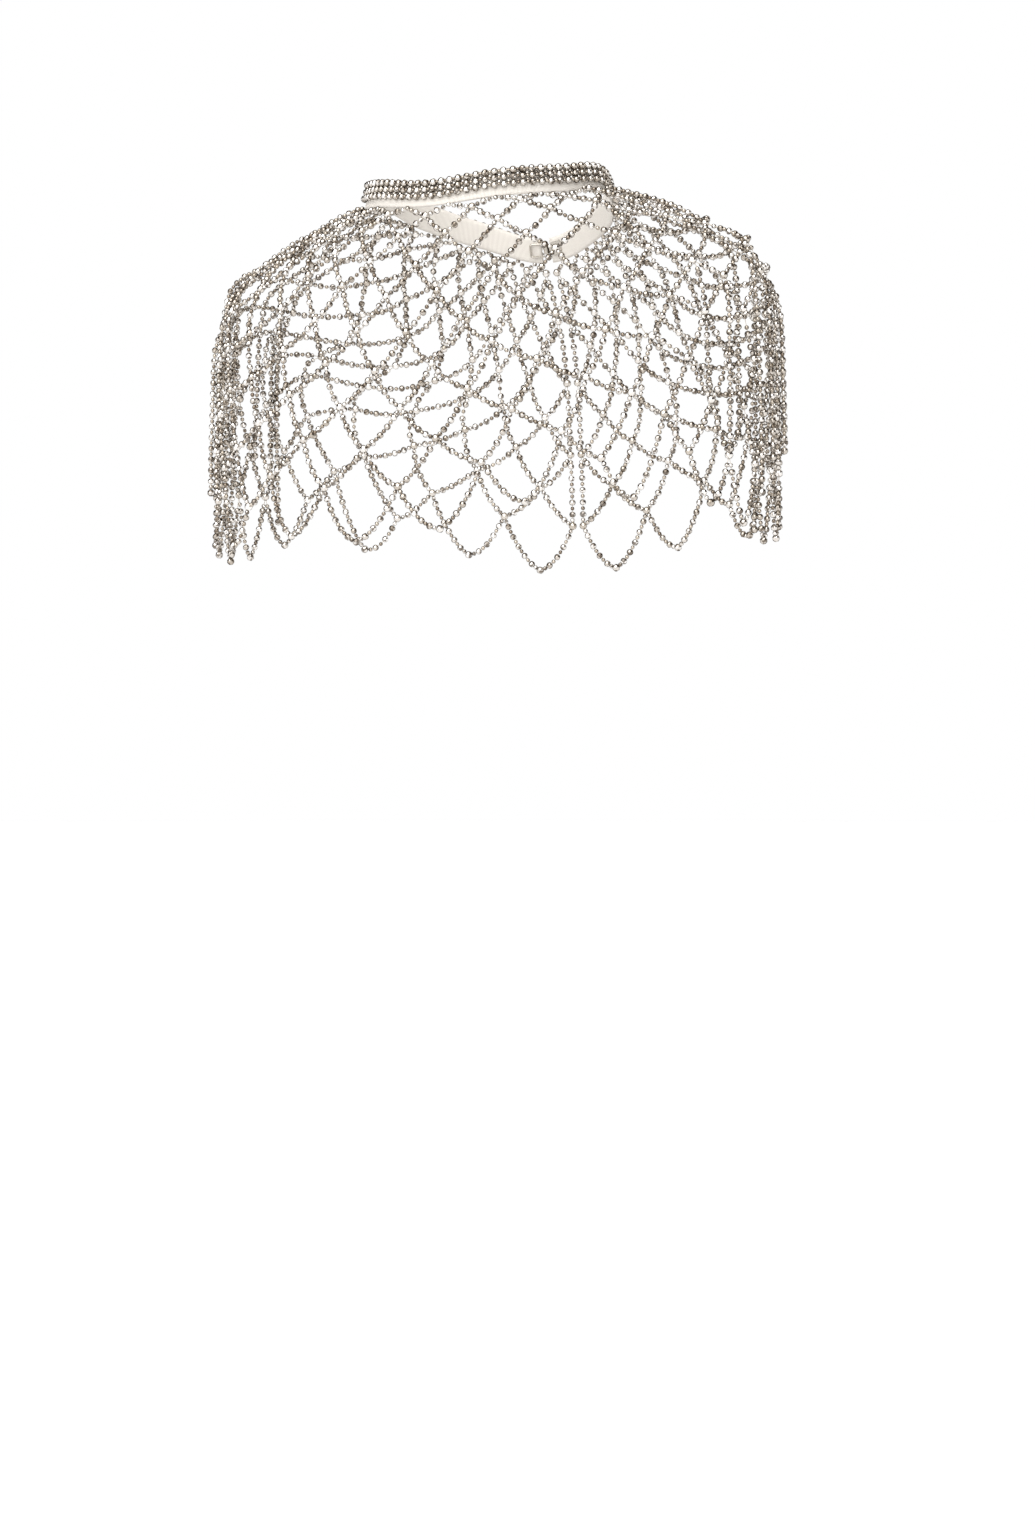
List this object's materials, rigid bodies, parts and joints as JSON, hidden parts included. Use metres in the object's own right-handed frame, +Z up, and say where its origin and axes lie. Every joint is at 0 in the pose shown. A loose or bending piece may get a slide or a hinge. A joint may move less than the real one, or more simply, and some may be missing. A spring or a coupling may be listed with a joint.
{
  "type": "beaded capelet",
  "caption": "Short open-mesh capelet of silver bead strings in rounded diamonds, on a beaded neck band that closes with a hook at the centre front.",
  "frame": {"origin": "middle of the neck ring, at the height where the band rests on the shoulders beside the neck", "axes": "+Z up, the wearer faces -Y, so the wearer's right is -X; the capelet's width runs along X"},
  "size_m": [0.4486, 0.2424, 0.275],
  "materials": {
    "neck_band": "off-white cotton tape, sewn all over with rows of mirror-bright silver-coated glass beads",
    "net": "silver-coated round glass beads on thread, mirror bright",
    "clasp": "nickel-plated steel, satin"
  },
  "bodies": {
    "root": {"neck_band": "neck_band", "net_left_back": "net", "net_left_front": "net", "net_right_back": "net", "net_right_front": "net", "clasp_hook": "clasp", "clasp_loop": "clasp"}
  },
  "joints": []
}
